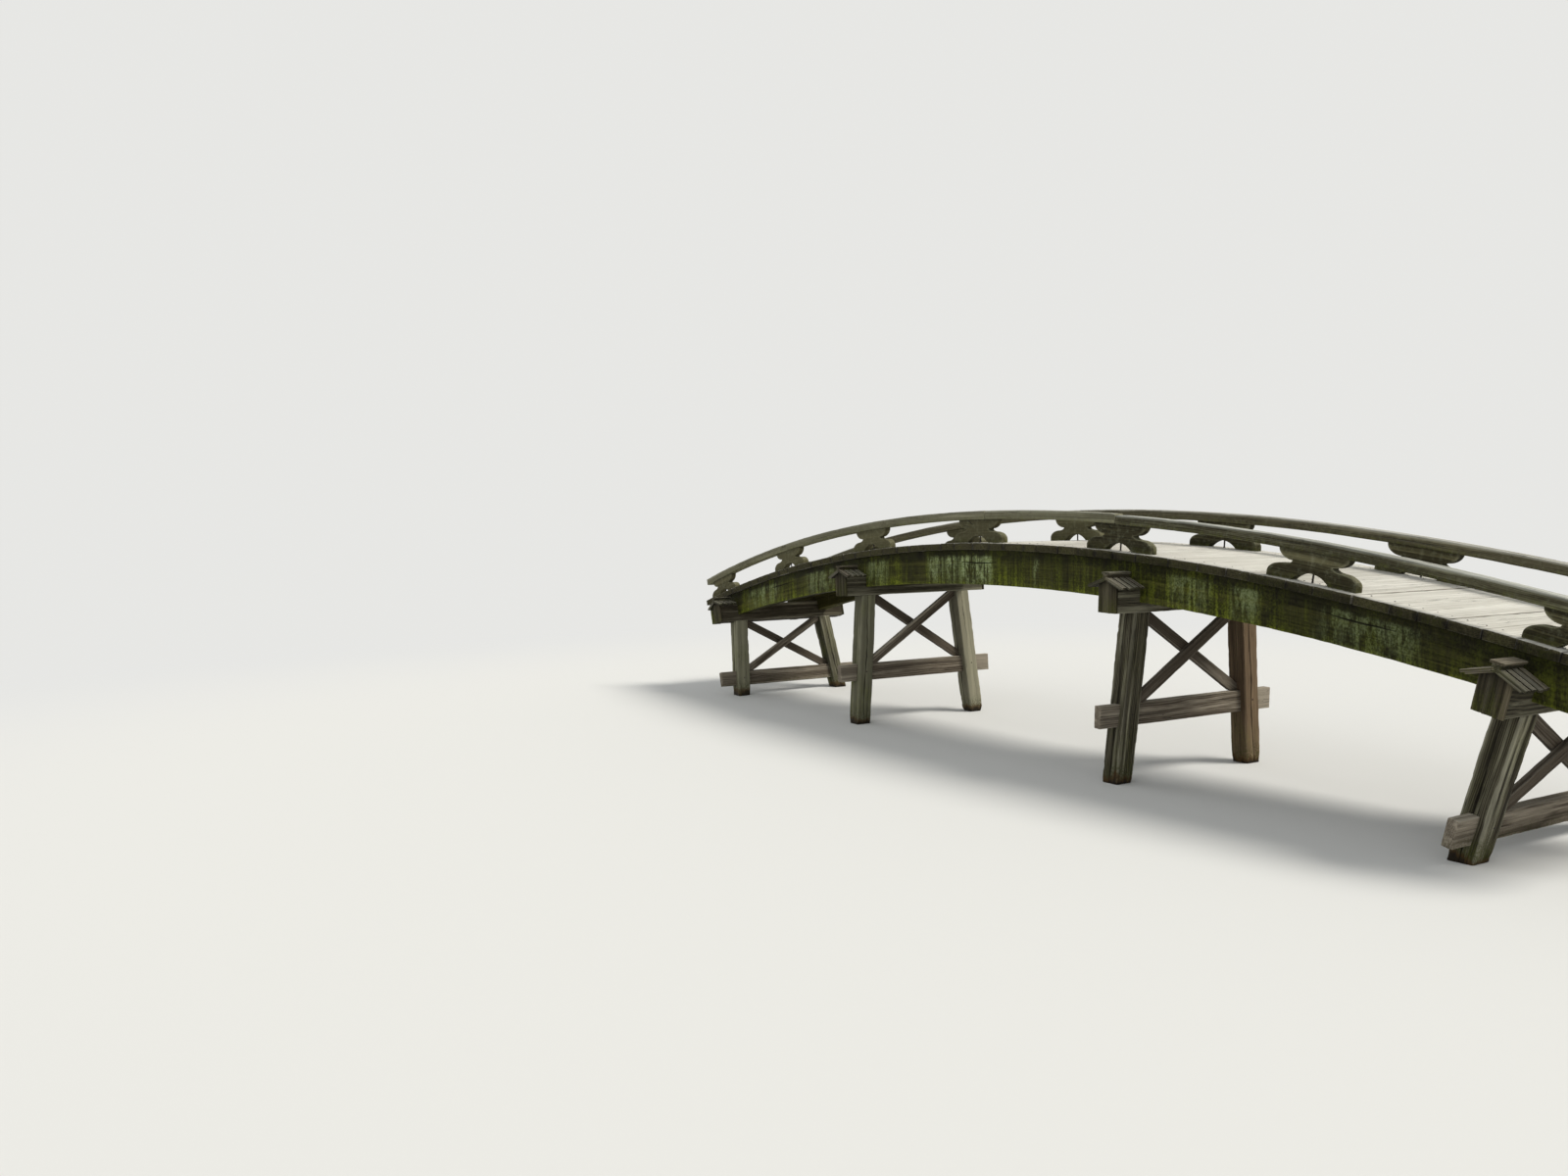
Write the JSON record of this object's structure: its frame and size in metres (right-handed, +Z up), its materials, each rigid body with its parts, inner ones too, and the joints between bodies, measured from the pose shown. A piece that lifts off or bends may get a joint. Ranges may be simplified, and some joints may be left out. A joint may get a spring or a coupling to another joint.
{
  "type": "moon bridge",
  "caption": "Arched timber garden bridge on fanned two-post trestles, with low curved rails on waisted supports and small gabled roofs over the cap beam ends.",
  "frame": {"origin": "centre of the bridge at the level of the water in which the posts stand", "axes": "+X along the bridge, +Y across it, +Z up"},
  "size_m": [11.8416, 2.0474, 2.282],
  "materials": {
    "deck_planks": "sun-bleached, weathered",
    "girder_timber": "dark, mossy, lichen-stained",
    "trestle_timber": "weathered grey-brown, checked",
    "rail_timber": "silver-grey, weathered",
    "roof_boards": "silver-grey, weathered",
    "iron": "dark rusted"
  },
  "bodies": {
    "root": {"deck": "deck_planks", "near_girder": "girder_timber", "far_girder": "girder_timber", "near_rail": "rail_timber", "far_rail": "rail_timber", "near_rail_supports": "rail_timber", "far_rail_supports": "rail_timber", "near_support_rods": "iron", "far_support_rods": "iron", "far_kerb_strip": "deck_planks", "trestle_a_near_post": "trestle_timber", "trestle_a_far_post": "trestle_timber", "trestle_a_cap_beam": "trestle_timber", "trestle_a_tie_beam": "trestle_timber", "trestle_a_front_brace": "trestle_timber", "trestle_a_back_brace": "trestle_timber", "trestle_a_end_covers": "roof_boards", "trestle_a_end_roofs": "roof_boards", "trestle_b_near_post": "trestle_timber", "trestle_b_far_post": "trestle_timber", "trestle_b_cap_beam": "trestle_timber", "trestle_b_tie_beam": "trestle_timber", "trestle_b_front_brace": "trestle_timber", "trestle_b_back_brace": "trestle_timber", "trestle_b_end_covers": "roof_boards", "trestle_b_end_roofs": "roof_boards", "trestle_c_near_post": "trestle_timber", "trestle_c_far_post": "trestle_timber", "trestle_c_cap_beam": "trestle_timber", "trestle_c_tie_beam": "trestle_timber", "trestle_c_front_brace": "trestle_timber", "trestle_c_back_brace": "trestle_timber", "trestle_c_end_covers": "roof_boards", "trestle_c_end_roofs": "roof_boards", "trestle_d_near_post": "trestle_timber", "trestle_d_far_post": "trestle_timber", "trestle_d_cap_beam": "trestle_timber", "trestle_d_tie_beam": "trestle_timber", "trestle_d_front_brace": "trestle_timber", "trestle_d_back_brace": "trestle_timber", "trestle_d_end_covers": "roof_boards", "trestle_d_end_roofs": "roof_boards"}
  },
  "joints": []
}
